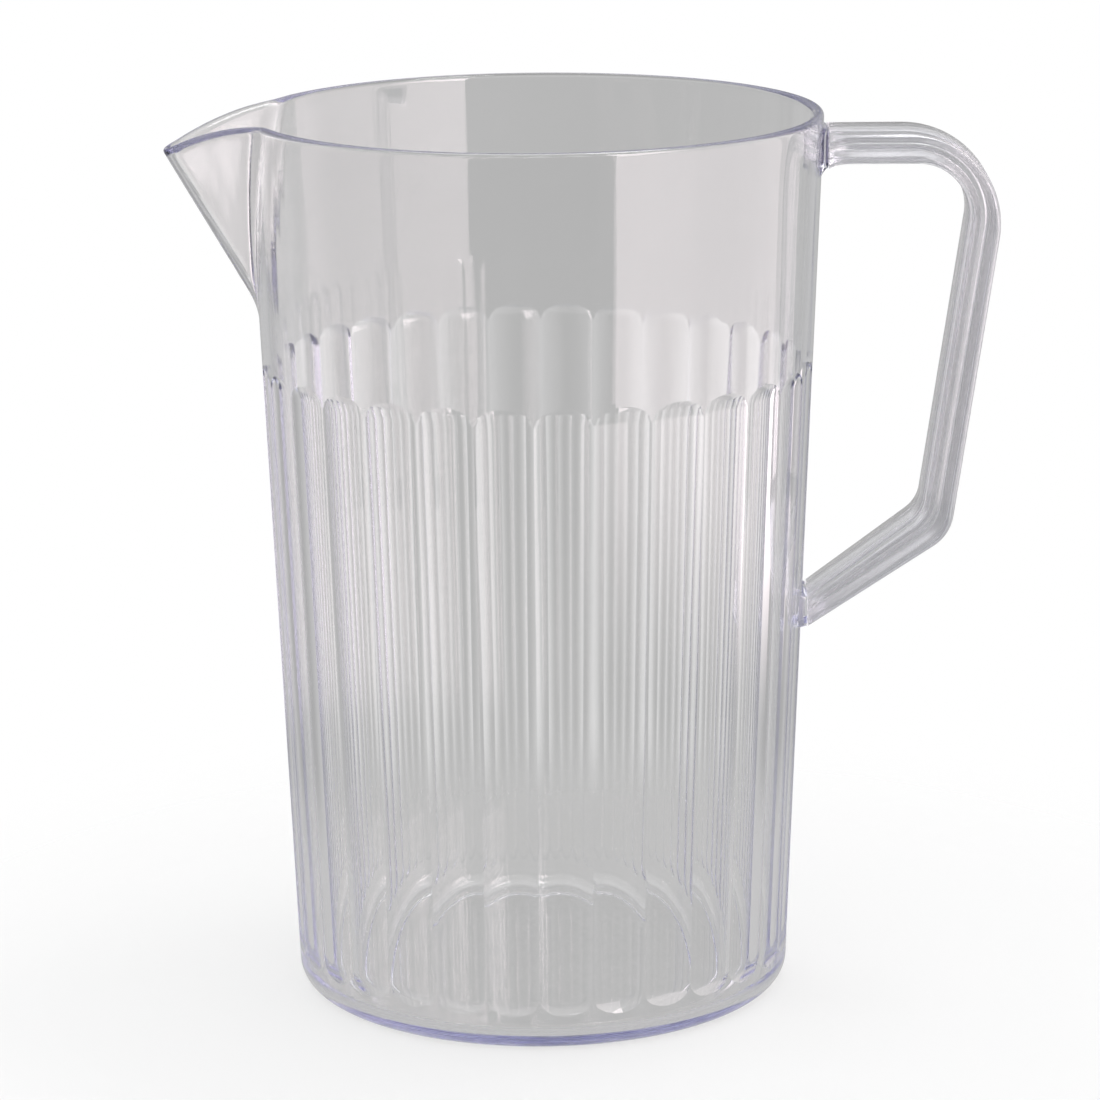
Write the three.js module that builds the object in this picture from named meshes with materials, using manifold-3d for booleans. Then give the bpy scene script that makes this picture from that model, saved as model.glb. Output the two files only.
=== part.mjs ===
// A clear plastic serving jug: a tapered, fluted barrel with a wedge-shaped spout,
// and a grooved bar handle that is bonded to two flat seats on the wall.
// Millimetres, +Z up. The jug stands on z = 0, the handle points to +X and the spout to -X.
import * as THREE from 'three';
import { mergeVertices } from 'three/addons/utils/BufferGeometryUtils.js';
import Module from 'manifold-3d';

// Barrel
const RIM_HEIGHT = 205;
const RIM_RADIUS = 65.4; // outside, at the height of the rim
const FOOT_RADIUS = 57.3; // outside, where the line of the wall would reach the table
const WALL = 2.5;

// Base
const FLOOR_HEIGHT = 3.2; // top of the floor above the table
const BASE_CORNER = 5.2; // outside radius between the wall and the table
const INNER_CORNER = 3.4; // inside radius between the wall and the floor
const STAND_WIDTH = 4; // width of the ring that the jug stands on
const STAND_DEPTH = 0.8; // how far the underside is hollowed inside that ring
const STAND_SLOPE = 1.5; // width of the slope from the ring up to the hollow

// Flutes round the lower wall
const FLUTE_COUNT = 30;
const FLUTE_DEPTH = 1;
const FLUTE_END = 4; // length over which a flute runs out to the plain wall
const FLUTE_LIFT = 3.3; // plain wall between the base corner and the flutes
const FLUTE_GAP = 7.2; // plain wall between the flutes and the foot of the spout

// Spout
const SPOUT_DEPTH = 45; // from the rim down to where the keel leaves the wall
const LIP_FALL = 7.8; // from the rim down to the lip at the tip
const KEEL_LEAN = 30; // degrees from upright
const KEEL_RADIUS = 6; // outside rounding along the keel
const SPOUT_HALF_ANGLE = 35; // degrees from the keel to each side, seen from above
const SPOUT_SPREAD = 26.5; // degrees round the rim from the keel to where the lip starts to fall
const SPOUT_BLEND = 2.2; // softness of the corner between the spout and the barrel

// Handle
const HANDLE_THICKNESS = 7.8;
const HANDLE_WIDTH = 14.5;
const HANDLE_EDGE = 1; // rounding of the bar's long edges
const HANDLE_DROP = 4; // from the rim down to the top of the upper arm
const HANDLE_REACH = 39.9; // from the rim out to the outermost point of the bar
const HANDLE_SPAN = 111.7; // from the top of the upper arm down to the middle of the bar's lower end
const GRIP_LEAN = 8.5; // degrees, the grip slopes in towards its foot
const UPPER_BEND_OUTSIDE = 22;
const UPPER_BEND_INSIDE = 11.4;
const LOWER_BEND_OUTSIDE = 10.3;
const LOWER_BEND_INSIDE = 8;
const FOOT_CUT = 8; // height of the bar's lower end, which is cut upright
const FOOT_SLOPE = 35; // degrees, the lower arm climbs away from the wall
const FOOT_TAPER = 3.6; // degrees by which the lower arm narrows towards the wall

// Grooves along the sides of the handle
const GROOVE_WIDTH = 3;
const GROOVE_DEPTH = 1.8;
const GROOVE_MARGIN = 2.4; // plain length of bar left between a groove and the end of the bar

// Seats of the handle
const ROOT_FILLET = 1; // how much deeper the upper arm grows under its root
const ROOT_LENGTH = 4; // and over what length
const SEAT_HEIGHT = 1; // how far a seat stands out from the wall
const SEAT_BITE = 1.5; // how far a seat is sunk into the wall, less than the wall's thickness
const UPPER_FLARE = 3.5; // how far the upper seat widens towards the wall
const LOWER_FLARE = 0.8;
const BOND_GAP = 0.3; // room for the bond between the bar and a seat

// Facets
const FLUTE_STEPS = 4; // facets across one flute
const RUN_OUT_STEPS = 3; // and along its rounded end
const ROUND_STEPS = 60; // facets round a plain ring
const SPOUT_STEPS = 14; // from the keel to the edge of the spout
const SPOUT_ROWS = 6; // from the foot of the spout to its lip
const CROWDING = 1.5; // how strongly the facets crowd towards the keel
const CORNER_STEPS = 3;
const LIP_STEPS = 4;
const BEND_STEPS = 9;
const EDGE_STEPS = 2;
const SEARCH_STEPS = 40; // halvings that find the height of the lip

const rad = THREE.MathUtils.degToRad;
const TURN = 2 * Math.PI;
const FINEST = 1e-4; // below this, two points count as one
const wasm = await Module();
wasm.setup();

// Heights up the jug
const spoutRoot = RIM_HEIGHT - SPOUT_DEPTH;
const spoutTip = RIM_HEIGHT - LIP_FALL;
const spoutFoot = spoutRoot - SPOUT_BLEND / Math.tan(rad(KEEL_LEAN)); // where the blend into the wall ends
const fluteTop = spoutFoot - FLUTE_GAP;
const fluteBottom = BASE_CORNER + FLUTE_LIFT;

// Plain outside radius of the barrel at a height
function wallRadius(z) {
  return THREE.MathUtils.mapLinear(z, 0, RIM_HEIGHT, FOOT_RADIUS, RIM_RADIUS);
}

// Distance from the axis to the keel of the spout at a height
function keelReach(z) {
  return wallRadius(spoutRoot) + (z - spoutRoot) * Math.tan(rad(KEEL_LEAN));
}

// The larger of two lengths, with the corner between them softened
function softMax(a, b, softness) {
  const overlap = Math.max(softness - Math.abs(a - b), 0) / softness;
  return Math.max(a, b) + (overlap * overlap * softness) / 4;
}

// Distance from the axis to the rounded wedge of the spout, at an angle away from the keel
function wedgeRadius(fromKeel, z, inset) {
  const side = rad(SPOUT_HALF_ANGLE);
  const middle = keelReach(z) - KEEL_RADIUS;
  const round = KEEL_RADIUS - inset;
  const touch = Math.atan2(round * Math.cos(side), middle + round * Math.sin(side));
  if (round > 0 && fromKeel <= touch) {
    const across = middle * Math.sin(fromKeel);
    return middle * Math.cos(fromKeel) + Math.sqrt(round * round - across * across);
  }
  const squareOn = Math.PI / 2 - side;
  return (middle * Math.sin(side) + round) / Math.sin(Math.min(fromKeel, squareOn) + side);
}

// Distance from the axis to the wall with its spout, or to a skin inset from it
function bodyRadius(angle, z, inset) {
  const plain = wallRadius(z) - inset;
  if (keelReach(z) < wallRadius(z) - SPOUT_BLEND) {
    return plain;
  }
  const fromKeel = Math.abs(Math.PI - angle);
  return softMax(plain, wedgeRadius(fromKeel, z, inset), SPOUT_BLEND);
}

// Height of the lip at an angle: level round the barrel, falling in a curve to the tip of the spout
function lipHeight(angle) {
  const lipStart = RIM_RADIUS * Math.cos(rad(SPOUT_SPREAD));
  const lipLength = keelReach(spoutTip) - lipStart;
  let low = spoutRoot;
  let high = RIM_HEIGHT;
  for (let step = 0; step < SEARCH_STEPS; step++) {
    const z = (low + high) / 2;
    const out = -bodyRadius(angle, z, 0) * Math.cos(angle) - lipStart;
    const share = Math.max(out, 0) / lipLength;
    const curve = RIM_HEIGHT - LIP_FALL * share * share;
    if (z < curve) {
      low = z;
    } else {
      high = z;
    }
  }
  return high;
}

// Depth of the flutes: a scallop across, running out in a rounded end at the top and the bottom
function fluteDepth(angle, z) {
  const share = (angle * FLUTE_COUNT) / TURN;
  const across = 2 * (share - Math.round(share));
  const pastTop = (z - fluteTop + FLUTE_END) / FLUTE_END;
  const pastBottom = (fluteBottom + FLUTE_END - z) / FLUTE_END;
  const past = Math.max(pastTop, pastBottom, 0);
  return FLUTE_DEPTH * Math.max(1 - across * across - past * past, 0);
}

// Angles of the points round a ring
function evenAngles(count) {
  return Array.from({ length: count }, (_, i) => (i * TURN) / count);
}

// Angles of a ring through the spout, closer together the nearer they are to the keel
function spoutAngles() {
  const edge = rad(SPOUT_SPREAD) + TURN / ROUND_STEPS;
  const fine = Array.from({ length: SPOUT_STEPS }, (_, i) => edge * ((i + 1) / SPOUT_STEPS) ** CROWDING);
  const near = fine.flatMap((angle) => [Math.PI - angle, Math.PI + angle]);
  const coarse = evenAngles(ROUND_STEPS).filter((angle) => Math.abs(angle - Math.PI) > edge + FINEST);
  return [...coarse, ...near, Math.PI].sort((a, b) => a - b);
}

// A closed skin drawn over rings of points, from the middle of the underside to the middle of the floor.
// Each ring lists its angles and gives the radius and the height at an angle.
function skin(rings, bottomHeight, topHeight) {
  const positions = [0, 0, bottomHeight];
  const triangles = [];
  const starts = rings.map(({ angles, radius, height }) => {
    const start = positions.length / 3;
    for (const angle of angles) {
      const r = radius(angle);
      positions.push(r * Math.cos(angle), r * Math.sin(angle), height(angle));
    }
    return start;
  });
  const point = (ring, i) => starts[ring] + (i % rings[ring].angles.length);
  const angleAt = (ring, i) => {
    const { angles } = rings[ring];
    return i < angles.length ? angles[i] : angles[0] + TURN;
  };
  const last = rings.length - 1;
  rings[0].angles.forEach((_, i) => triangles.push(0, point(0, i + 1), point(0, i)));
  for (let ring = 0; ring < last; ring++) {
    const lowerCount = rings[ring].angles.length;
    const upperCount = rings[ring + 1].angles.length;
    let i = 0;
    let j = 0;
    while (i < lowerCount || j < upperCount) {
      const lowerNext = angleAt(ring, i + 1);
      const upperNext = angleAt(ring + 1, j + 1);
      if (j === upperCount || (i < lowerCount && lowerNext <= upperNext)) {
        triangles.push(point(ring, i), point(ring, i + 1), point(ring + 1, j));
        i++;
      } else {
        triangles.push(point(ring, i), point(ring + 1, j + 1), point(ring + 1, j));
        j++;
      }
    }
  }
  const middle = positions.length / 3;
  positions.push(0, 0, topHeight);
  rings[last].angles.forEach((_, i) => triangles.push(point(last, i), point(last, i + 1), middle));
  const geometry = new THREE.BufferGeometry();
  geometry.setAttribute('position', new THREE.Float32BufferAttribute(positions, 3));
  geometry.setIndex(triangles);
  return geometry;
}

// A three.js geometry as a solid that can be joined and cut
function solid(geometry) {
  const bare = geometry.clone();
  bare.deleteAttribute('normal');
  bare.deleteAttribute('uv');
  const merged = mergeVertices(bare, FINEST);
  const mesh = new wasm.Mesh({
    numProp: 3,
    vertProperties: new Float32Array(merged.attributes.position.array),
    triVerts: new Uint32Array(merged.index.array),
  });
  return new wasm.Manifold(mesh);
}

// A solid back as a three.js geometry
function toGeometry(manifold) {
  const mesh = manifold.getMesh();
  const geometry = new THREE.BufferGeometry();
  geometry.setAttribute('position', new THREE.BufferAttribute(mesh.vertProperties, 3));
  geometry.setIndex(new THREE.BufferAttribute(mesh.triVerts, 1));
  geometry.computeVertexNormals();
  return geometry;
}

// The barrel, base and spout as one shell. Its rings run from the underside up the outside, over the lip
// and down the inside to the floor.
function bodyShell() {
  const round = evenAngles(ROUND_STEPS);
  const fluted = evenAngles(FLUTE_COUNT * FLUTE_STEPS);
  const spouted = spoutAngles();
  const rings = [];
  const roundRing = (r, z) => rings.push({ angles: round, radius: () => r, height: () => z });

  const standOuter = wallRadius(BASE_CORNER) - BASE_CORNER;
  const standInner = standOuter - STAND_WIDTH;
  roundRing(standInner - STAND_SLOPE, STAND_DEPTH);
  roundRing(standInner, 0);
  for (let step = 0; step <= CORNER_STEPS; step++) {
    const a = (step / CORNER_STEPS) * (Math.PI / 2);
    roundRing(standOuter + BASE_CORNER * Math.sin(a), BASE_CORNER * (1 - Math.cos(a)));
  }

  const runOut = Array.from({ length: RUN_OUT_STEPS + 1 }, (_, i) => {
    return FLUTE_END * (1 - Math.cos(((i / RUN_OUT_STEPS) * Math.PI) / 2));
  });
  const fluteHeights = [
    ...runOut.map((length) => fluteBottom + length),
    ...runOut.map((length) => fluteTop - length).reverse(),
  ];
  for (const z of fluteHeights) {
    rings.push({
      angles: fluted,
      radius: (angle) => wallRadius(z) - fluteDepth(angle, z),
      height: () => z,
    });
  }

  const lips = new Map(spouted.map((angle) => [angle, lipHeight(angle)]));
  const lipRadius = WALL / 2;
  const spoutRing = (share, inset) => {
    const height = (angle) => THREE.MathUtils.lerp(spoutFoot, lips.get(angle) - lipRadius, share);
    rings.push({ angles: spouted, radius: (angle) => bodyRadius(angle, height(angle), inset), height });
  };
  for (let row = 0; row <= SPOUT_ROWS; row++) {
    spoutRing(row / SPOUT_ROWS, 0);
  }
  for (let step = 1; step < LIP_STEPS; step++) {
    const a = (step / LIP_STEPS) * Math.PI;
    const height = (angle) => lips.get(angle) - lipRadius + lipRadius * Math.sin(a);
    const inset = lipRadius * (1 - Math.cos(a));
    rings.push({ angles: spouted, radius: (angle) => bodyRadius(angle, height(angle), inset), height });
  }
  for (let row = SPOUT_ROWS; row >= 0; row--) {
    spoutRing(row / SPOUT_ROWS, WALL);
  }

  const cornerTop = FLOOR_HEIGHT + INNER_CORNER;
  const cornerMiddle = wallRadius(cornerTop) - WALL - INNER_CORNER;
  for (let step = 0; step <= CORNER_STEPS; step++) {
    const a = (step / CORNER_STEPS) * (Math.PI / 2);
    roundRing(cornerMiddle + INNER_CORNER * Math.cos(a), cornerTop - INNER_CORNER * Math.sin(a));
  }
  return solid(skin(rings, STAND_DEPTH, FLOOR_HEIGHT));
}

// Where the handle stands against the wall
const armTop = RIM_HEIGHT - HANDLE_DROP;
const rootCut = HANDLE_THICKNESS + ROOT_FILLET; // height of the bar's upper end
const rootHeight = armTop - rootCut / 2; // and its middle
const footHeight = armTop - HANDLE_SPAN; // middle of its lower end
const upperSeat = wallRadius(rootHeight) + SEAT_HEIGHT;
const lowerSeat = wallRadius(footHeight) + SEAT_HEIGHT;

// A seat: a flat pad the size of the bar's end that widens into the wall, but not past the lip
function seat(face, z, height, flare) {
  const length = SEAT_HEIGHT + SEAT_BITE;
  const halfWidth = HANDLE_WIDTH / 2;
  const halfHeight = height / 2;
  const roomAbove = Math.min(flare, RIM_HEIGHT - WALL / 2 - z - halfHeight);
  const pad = new THREE.BoxGeometry(length, 2, 2); // corners at plus and minus 1, spread below
  const corners = pad.attributes.position;
  for (let i = 0; i < corners.count; i++) {
    const atWall = corners.getX(i) < 0;
    const above = corners.getZ(i) > 0;
    const widen = atWall ? flare : 0;
    const heighten = atWall && above ? roomAbove : widen;
    corners.setY(i, corners.getY(i) * (halfWidth + widen));
    corners.setZ(i, corners.getZ(i) * (halfHeight + heighten));
  }
  pad.translate(face - length / 2, 0, z);
  return solid(pad);
}

// A straight edge of the bar seen from the side: a point on it and the way it runs, in degrees.
// The bar lies to the right of it, so an inset moves it that way.
function straight(x, z, heading, inset) {
  const a = rad(heading);
  return { x: x + inset * Math.sin(a), z: z - inset * Math.cos(a), heading };
}

// The straight edges of the bar, in order, all inset by the same amount
function barEdges(inset) {
  const lean = rad(GRIP_LEAN);
  const gripX = RIM_RADIUS + HANDLE_REACH - UPPER_BEND_OUTSIDE * (1 - Math.cos(lean));
  const gripZ = armTop - UPPER_BEND_OUTSIDE * (1 + Math.sin(lean));
  const gripInside = straight(gripX, gripZ, -90 - GRIP_LEAN, HANDLE_THICKNESS);
  return {
    top: straight(0, armTop, 0, inset),
    outside: straight(gripX, gripZ, -90 - GRIP_LEAN, inset),
    footBelow: straight(lowerSeat, footHeight - FOOT_CUT / 2, FOOT_SLOPE - FOOT_TAPER / 2 - 180, inset),
    footAbove: straight(lowerSeat, footHeight + FOOT_CUT / 2, FOOT_SLOPE + FOOT_TAPER / 2, inset),
    inside: straight(gripInside.x, gripInside.z, 90 - GRIP_LEAN, inset),
    under: straight(0, armTop - HANDLE_THICKNESS, 180, inset),
  };
}

// Height of a straight edge at a distance from the jug's axis
function heightOn(edge, x) {
  return edge.z + (x - edge.x) * Math.tan(rad(edge.heading));
}

// Adds a bend between two straight edges to an outline. It turns right, or left if the radius is negative.
function addBend(outline, before, after, radius) {
  const a = rad(before.heading);
  const b = rad(after.heading);
  const one = straight(before.x, before.z, before.heading, radius);
  const two = straight(after.x, after.z, after.heading, radius);
  const along = ((two.x - one.x) * Math.sin(b) - (two.z - one.z) * Math.cos(b)) / Math.sin(b - a);
  const middleX = one.x + along * Math.cos(a);
  const middleZ = one.z + along * Math.sin(a);
  const side = (Math.sign(radius) * Math.PI) / 2;
  outline.absarc(middleX, middleZ, Math.abs(radius), a + side, b + side, radius > 0);
}

// The bar seen from the side, or a groove that is inset from its edges.
// It keeps a clearance to both seats. The ends of the bar are flat, those of a groove are rounded.
function sideView(inset, clearance, isGroove) {
  const { top, outside, footBelow, footAbove, inside, under } = barEdges(inset);
  const rootX = upperSeat + clearance;
  const footX = lowerSeat + clearance;
  const outline = new THREE.Shape();
  const endAt = (x, z) => {
    if (isGroove) {
      outline.quadraticCurveTo(x - GROOVE_WIDTH, (outline.currentPoint.y + z) / 2, x, z);
    } else {
      outline.lineTo(x, z);
    }
  };
  outline.moveTo(rootX, isGroove ? under.z : armTop - rootCut);
  endAt(rootX, top.z);
  addBend(outline, top, outside, UPPER_BEND_OUTSIDE - inset);
  addBend(outline, outside, footBelow, LOWER_BEND_OUTSIDE - inset);
  outline.lineTo(footX, heightOn(footBelow, footX));
  endAt(footX, heightOn(footAbove, footX));
  addBend(outline, footAbove, inside, -LOWER_BEND_INSIDE - inset);
  addBend(outline, inside, under, -UPPER_BEND_INSIDE - inset);
  if (!isGroove) {
    outline.lineTo(rootX + ROOT_LENGTH, under.z);
  }
  return outline;
}

// A side view turned upright and pushed out from one side of the bar
function upright(geometry, from) {
  return geometry.rotateX(Math.PI / 2).translate(0, from, 0);
}

// The bar with its rounded edges, cut by a groove along each side
function handleBar() {
  const bar = new THREE.ExtrudeGeometry(sideView(0, BOND_GAP, false), {
    depth: HANDLE_WIDTH - 2 * HANDLE_EDGE,
    curveSegments: BEND_STEPS,
    bevelEnabled: true,
    bevelThickness: HANDLE_EDGE,
    bevelSize: HANDLE_EDGE,
    bevelOffset: -HANDLE_EDGE,
    bevelSegments: EDGE_STEPS,
  });
  const inset = (HANDLE_THICKNESS - GROOVE_WIDTH) / 2;
  const clearance = BOND_GAP + GROOVE_MARGIN + GROOVE_WIDTH / 2;
  const cutter = new THREE.ExtrudeGeometry(sideView(inset, clearance, true), {
    depth: GROOVE_DEPTH + HANDLE_EDGE,
    curveSegments: BEND_STEPS,
    bevelEnabled: false,
  });
  const halfWidth = HANDLE_WIDTH / 2;
  const front = solid(upright(cutter.clone(), -halfWidth + GROOVE_DEPTH));
  const back = solid(upright(cutter.clone(), halfWidth + HANDLE_EDGE));
  return solid(upright(bar, halfWidth - HANDLE_EDGE)).subtract(front).subtract(back);
}

// Clear plastic, with a faint cool tint
function clearPlastic(color) {
  return new THREE.MeshStandardMaterial({
    color,
    roughness: 0.08,
    metalness: 0,
    transparent: true,
    opacity: 0.4,
  });
}

function jugBody() {
  const upper = seat(upperSeat, rootHeight, rootCut, UPPER_FLARE);
  const lower = seat(lowerSeat, footHeight, FOOT_CUT, LOWER_FLARE);
  const geometry = toGeometry(bodyShell().add(upper).add(lower));
  const mesh = new THREE.Mesh(geometry, clearPlastic(0xdcdde3));
  mesh.name = 'jug_body';
  return mesh;
}

function handle() {
  const mesh = new THREE.Mesh(toGeometry(handleBar()), clearPlastic(0xcfd0d8));
  mesh.name = 'handle';
  return mesh;
}

// The finished jug, with the middle of its footprint at the origin
const jug = new THREE.Group();
jug.add(jugBody(), handle());
const extent = new THREE.Box3().setFromObject(jug);
jug.position.x = -(extent.min.x + extent.max.x) / 2;
jug.updateMatrixWorld(true);

export default jug;
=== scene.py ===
from math import cos, hypot, pi, radians, sin, tan

import bpy
from mathutils import Matrix, Vector


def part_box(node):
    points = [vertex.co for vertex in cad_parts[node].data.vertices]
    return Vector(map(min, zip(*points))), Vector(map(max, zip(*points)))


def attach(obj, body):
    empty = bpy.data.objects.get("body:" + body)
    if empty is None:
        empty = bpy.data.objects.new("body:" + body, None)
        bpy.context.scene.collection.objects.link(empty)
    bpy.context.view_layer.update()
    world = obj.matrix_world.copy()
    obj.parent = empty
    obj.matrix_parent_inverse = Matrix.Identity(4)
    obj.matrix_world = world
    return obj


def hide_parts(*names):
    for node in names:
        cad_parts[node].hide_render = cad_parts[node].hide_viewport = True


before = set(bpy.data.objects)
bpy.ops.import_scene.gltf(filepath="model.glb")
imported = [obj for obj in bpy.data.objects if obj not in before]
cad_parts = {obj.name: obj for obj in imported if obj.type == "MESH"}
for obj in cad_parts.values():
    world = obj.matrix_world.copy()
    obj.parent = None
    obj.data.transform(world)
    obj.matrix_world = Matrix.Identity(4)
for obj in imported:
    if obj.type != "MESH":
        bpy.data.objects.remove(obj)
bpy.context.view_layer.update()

# Clear plastic of the jug
# Both mouldings are a hard, clear plastic, polished by the mould. It has a faint cool tint that shows in
# thick edges, a slight waviness from the flow in the mould, and fine haze from washing.
plastic_refraction = 1.57
cloud_scale = 22.0  # patches of tint to a metre
cloud_detail = 3.0
cloud_range = 0.35, 0.7  # noise between which the tint turns paler
deep_tint = 0.58, 0.585, 0.765  # taken on where the plastic is thick
deep_density = 15.0
haze_scale = 160.0
haze_detail = 6.0
haze_range = 0.35, 0.75
polish_roughness = 0.015, 0.05  # where the haze is thinnest and thickest
scuff_roughness = 0.22  # added where the surface is dull
wave_detail = 2.0
wave_strength = 0.5
wave_depth = 0.0002
plastic_bounces = 96  # light is mirrored many times inside the edges of the plastic
bpy.context.scene.cycles.max_bounces = plastic_bounces
bpy.context.scene.cycles.glossy_bounces = plastic_bounces
bpy.context.scene.cycles.transmission_bounces = plastic_bounces


def clear_plastic(name, tint, paler_tint, wave_stretch, scuffed_below=None, wave_place=None):
    """Clear moulded plastic. wave_stretch is the length of its waves along X, Y and Z, or along the three
    numbers that the mesh holds under the name wave_place. The surface is dull below the height
    scuffed_below, where it slides on tables, or all over where no height is given."""
    material = bpy.data.materials.new(name)
    material.use_nodes = True
    nodes, links = material.node_tree.nodes, material.node_tree.links
    shader = nodes["Principled BSDF"]
    shader.inputs["Transmission Weight"].default_value = 1.0
    shader.inputs["IOR"].default_value = plastic_refraction
    place = nodes.new("ShaderNodeTexCoord").outputs["Object"]

    # Cloudy tint, in patches a few centimetres wide
    cloud = nodes.new("ShaderNodeTexNoise")
    cloud.inputs["Scale"].default_value = cloud_scale
    cloud.inputs["Detail"].default_value = cloud_detail
    links.new(place, cloud.inputs["Vector"])
    tints = nodes.new("ShaderNodeValToRGB")
    tints.color_ramp.elements[0].position = cloud_range[0]
    tints.color_ramp.elements[0].color = (*tint, 1.0)
    tints.color_ramp.elements[1].position = cloud_range[1]
    tints.color_ramp.elements[1].color = (*paler_tint, 1.0)
    links.new(cloud.outputs["Fac"], tints.inputs["Fac"])
    links.new(tints.outputs["Color"], shader.inputs["Base Color"])

    # Fine haze, and what makes the surface dull
    haze = nodes.new("ShaderNodeTexNoise")
    haze.inputs["Scale"].default_value = haze_scale
    haze.inputs["Detail"].default_value = haze_detail
    links.new(place, haze.inputs["Vector"])
    polish = nodes.new("ShaderNodeMapRange")
    polish.inputs["From Min"].default_value = haze_range[0]
    polish.inputs["From Max"].default_value = haze_range[1]
    polish.inputs["To Min"].default_value = polish_roughness[0]
    polish.inputs["To Max"].default_value = polish_roughness[1]
    links.new(haze.outputs["Fac"], polish.inputs["Value"])
    roughness = nodes.new("ShaderNodeMath")
    links.new(polish.outputs["Result"], roughness.inputs[0])
    if scuffed_below is None:
        roughness.inputs[1].default_value = scuff_roughness
    else:
        height = nodes.new("ShaderNodeSeparateXYZ")
        links.new(place, height.inputs["Vector"])
        scuff = nodes.new("ShaderNodeMapRange")
        scuff.inputs["From Min"].default_value = scuffed_below
        scuff.inputs["From Max"].default_value = 0.0
        scuff.inputs["To Max"].default_value = scuff_roughness
        links.new(height.outputs["Z"], scuff.inputs["Value"])
        links.new(scuff.outputs["Result"], roughness.inputs[1])
    links.new(roughness.outputs["Value"], shader.inputs["Roughness"])

    # Waviness left by the flow of the melt
    stretch = nodes.new("ShaderNodeMapping")
    stretch.inputs["Scale"].default_value = [1 / length for length in wave_stretch]
    if wave_place:
        run = nodes.new("ShaderNodeAttribute")
        run.attribute_name = wave_place
        links.new(run.outputs["Vector"], stretch.inputs["Vector"])
    else:
        links.new(place, stretch.inputs["Vector"])
    flow = nodes.new("ShaderNodeTexNoise")
    flow.inputs["Scale"].default_value = 1.0
    flow.inputs["Detail"].default_value = wave_detail
    links.new(stretch.outputs["Vector"], flow.inputs["Vector"])
    wave = nodes.new("ShaderNodeBump")
    wave.inputs["Strength"].default_value = wave_strength
    wave.inputs["Distance"].default_value = wave_depth
    links.new(flow.outputs["Fac"], wave.inputs["Height"])
    links.new(wave.outputs["Normal"], shader.inputs["Normal"])

    # The cool tint deepens with the thickness that light passes through
    depth = nodes.new("ShaderNodeVolumeAbsorption")
    depth.inputs["Color"].default_value = (*deep_tint, 1.0)
    depth.inputs["Density"].default_value = deep_density
    links.new(depth.outputs["Volume"], nodes["Material Output"].inputs["Volume"])
    return material


# Jug body
# One injection moulding: a tapered barrel with shallow flutes outside, a floor, a wedge-shaped spout and two
# small seats for the handle. It is drawn as one skin, from the middle of the underside up the outside,
# over the lip and down the inside to the middle of the floor.
body_sizes = {
    "Rim Height": 0.205,
    "Rim Radius": 0.0654,
    "Foot Radius": 0.0573,
    "Wall": 0.0025,
    "Floor Height": 0.0032,
    "Base Corner": 0.0052,
    "Inner Corner": 0.0034,
    "Stand Width": 0.004,
    "Stand Depth": 0.0008,
    "Stand Slope": 0.0015,
    "Flute Count": 30.0,
    "Flute Depth": 0.001,
    "Flute End": 0.004,
    "Flute Lift": 0.0033,
    "Flute Gap": 0.0069,
    "Spout Depth": 0.045,
    "Lip Fall": 0.0078,
    "Keel Lean": radians(30),
    "Keel Radius": 0.006,
    "Spout Half Angle": radians(35),
    "Spout Spread": radians(26.5),
    "Spout Blend": 0.0022,
    "Seat Height": 0.001,
    "Seat Bite": 0.0015,
    "Seat Half Width": 0.00725,
    "Upper Seat Middle": 0.1966,
    "Upper Seat Height": 0.0088,
    "Upper Seat Flare": 0.0035,
    "Lower Seat Middle": 0.0893,
    "Lower Seat Height": 0.008,
    "Lower Seat Flare": 0.0008,
}
handle_reach = 0.0399  # from the rim out to the outermost point of the handle
axis_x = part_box("handle")[1].x - body_sizes["Rim Radius"] - handle_reach
body_sizes["Axis"] = axis_x

columns = 480  # points round the jug, 16 to a flute
crowding = 0.6  # how strongly they crowd towards the keel on the lip of the spout
crowding_reach = radians(30)  # and how far from the keel
hollow_rows, slope_rows, stand_rows, corner_rows = 6, 6, 2, 16  # rows of faces along each band of its skin
foot_rows, flute_end_rows, flute_rows, band_rows = 4, 8, 3, 6
spout_rows, lip_rows = 36, 24
inside_rows, inner_corner_rows, inner_floor_rows = 4, 10, 8
lip_passes = 8  # rounds that find the height of the lip
seat_columns, seat_rows = 96, 10
seat_squareness = 7.0
crease = radians(9)  # a sharper edge than this stays crisp
closest = 1e-6  # points nearer than this are one point


def feed(place, value):
    """Puts a number into an input of a node, fixed or worked out by other nodes."""
    if isinstance(value, Field):
        place.id_data.links.new(value.socket, place)
    else:
        place.default_value = value


class Field:
    """A number that a node tree works out at every point of a mesh, so that a rule reads as a formula."""

    def __init__(self, socket):
        self.socket = socket

    def step(self, operation, *others):
        node = self.socket.id_data.nodes.new("ShaderNodeMath")
        node.operation = operation
        for place, value in zip(node.inputs, (self, *others)):
            feed(place, value)
        return Field(node.outputs["Value"])

    def __add__(self, other):
        return self.step("ADD", other)

    def __sub__(self, other):
        return self.step("SUBTRACT", other)

    def __mul__(self, other):
        return self.step("MULTIPLY", other)

    def __truediv__(self, other):
        return self.step("DIVIDE", other)

    def __neg__(self):
        return self * -1.0

    __radd__ = __add__
    __rmul__ = __mul__

    def __rsub__(self, other):
        return -self + other

    def least(self, other):
        return self.step("MINIMUM", other)

    def most(self, other):
        return self.step("MAXIMUM", other)

    def sine(self):
        return self.step("SINE")

    def cosine(self):
        return self.step("COSINE")

    def root(self):
        return self.most(0.0).step("SQRT")

    def size(self):
        return self.step("ABSOLUTE")

    def held(self):
        """Held between 0 and 1."""
        return self.most(0.0).least(1.0)

    def until(self, end, share):
        """The point at a share of the way from here to end."""
        return self + (end - self) * share

    def if_under(self, limit, yes, no):
        return no + (yes - no) * self.step("LESS_THAN", limit)


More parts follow.
